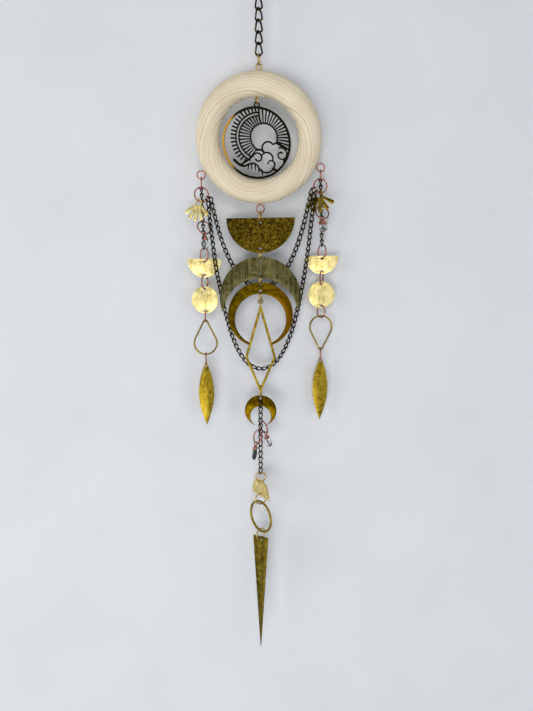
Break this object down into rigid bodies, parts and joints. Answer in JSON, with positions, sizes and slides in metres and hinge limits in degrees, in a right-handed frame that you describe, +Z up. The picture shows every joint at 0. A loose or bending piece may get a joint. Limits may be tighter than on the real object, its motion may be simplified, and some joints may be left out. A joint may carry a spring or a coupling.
{
  "type": "hanging mobile sculpture",
  "caption": "Boho wall mobile: wooden ring on a chain, filigree charm, and strands of brass crescents, discs, leaves and wire-wrapped stones joined by chain swags.",
  "frame": {"origin": "the point inside the top of the hanging ring where a hook or nail bears", "axes": "+Z up, the plane of the mobile is XZ and its front faces -Y, +X is to the right seen from the front"},
  "size_m": [0.1142, 0.0268, 0.5206],
  "materials": {
    "wood": "clear satin finish over pale turned wood",
    "gold": "bright gold plate",
    "copper": "polished copper wire, slightly browned",
    "bronze": "antique bronze, near black",
    "aged_brass": "mottled aged brass",
    "olive_bronze": "dark brushed bronze",
    "brass": "brushed raw brass",
    "pale_brass": "bright brushed pale brass",
    "crystal": "clear quartz with copper wire",
    "dark_stone": "dark green glossy stone with copper wire"
  },
  "bodies": {
    "root": {"wooden_ring": "wood", "top_screw_eye": "gold", "charm_screw_eye": "gold", "left_screw_eye": "copper", "right_screw_eye": "copper", "bottom_screw_eye": "copper", "top_chain": "bronze", "hanging_ring": "bronze", "sun_charm": "bronze", "centre_ring_1": "gold", "large_half_moon": "aged_brass", "centre_ring_2": "gold", "big_crescent": "olive_bronze", "centre_ring_3": "gold", "mid_crescent": "aged_brass", "centre_ring_4": "gold", "kite": "brass", "centre_ring_5": "gold", "small_crescent": "aged_brass", "centre_chain": "bronze", "crystal_ring": "copper", "crystal_drop": "crystal", "dark_stone_ring": "copper", "dark_stone_drop": "dark_stone", "centre_ring_6": "gold", "small_half_circle": "brass", "centre_ring_7": "gold", "round_hoop": "brass", "centre_ring_8": "gold", "long_spike": "brass", "left_ring_a": "copper", "left_ring_b": "copper", "left_fan": "pale_brass", "left_chain": "bronze", "left_stone_ring": "copper", "left_stone_drop": "crystal", "left_ring_c": "copper", "left_half_circle": "pale_brass", "left_ring_d": "copper", "left_disc": "pale_brass", "left_ring_e": "copper", "left_teardrop": "brass", "left_ring_f": "copper", "left_leaf": "brass", "right_ring_a": "copper", "right_ring_b": "copper", "right_fan": "brass", "right_chain": "bronze", "right_stone_ring": "copper", "right_stone_drop": "crystal", "right_ring_c": "copper", "right_half_circle": "pale_brass", "right_ring_d": "copper", "right_disc": "pale_brass", "right_ring_e": "copper", "right_teardrop": "brass", "right_ring_f": "copper", "right_leaf": "brass", "upper_swag_chain": "bronze", "lower_swag_chain": "bronze"}
  },
  "joints": []
}
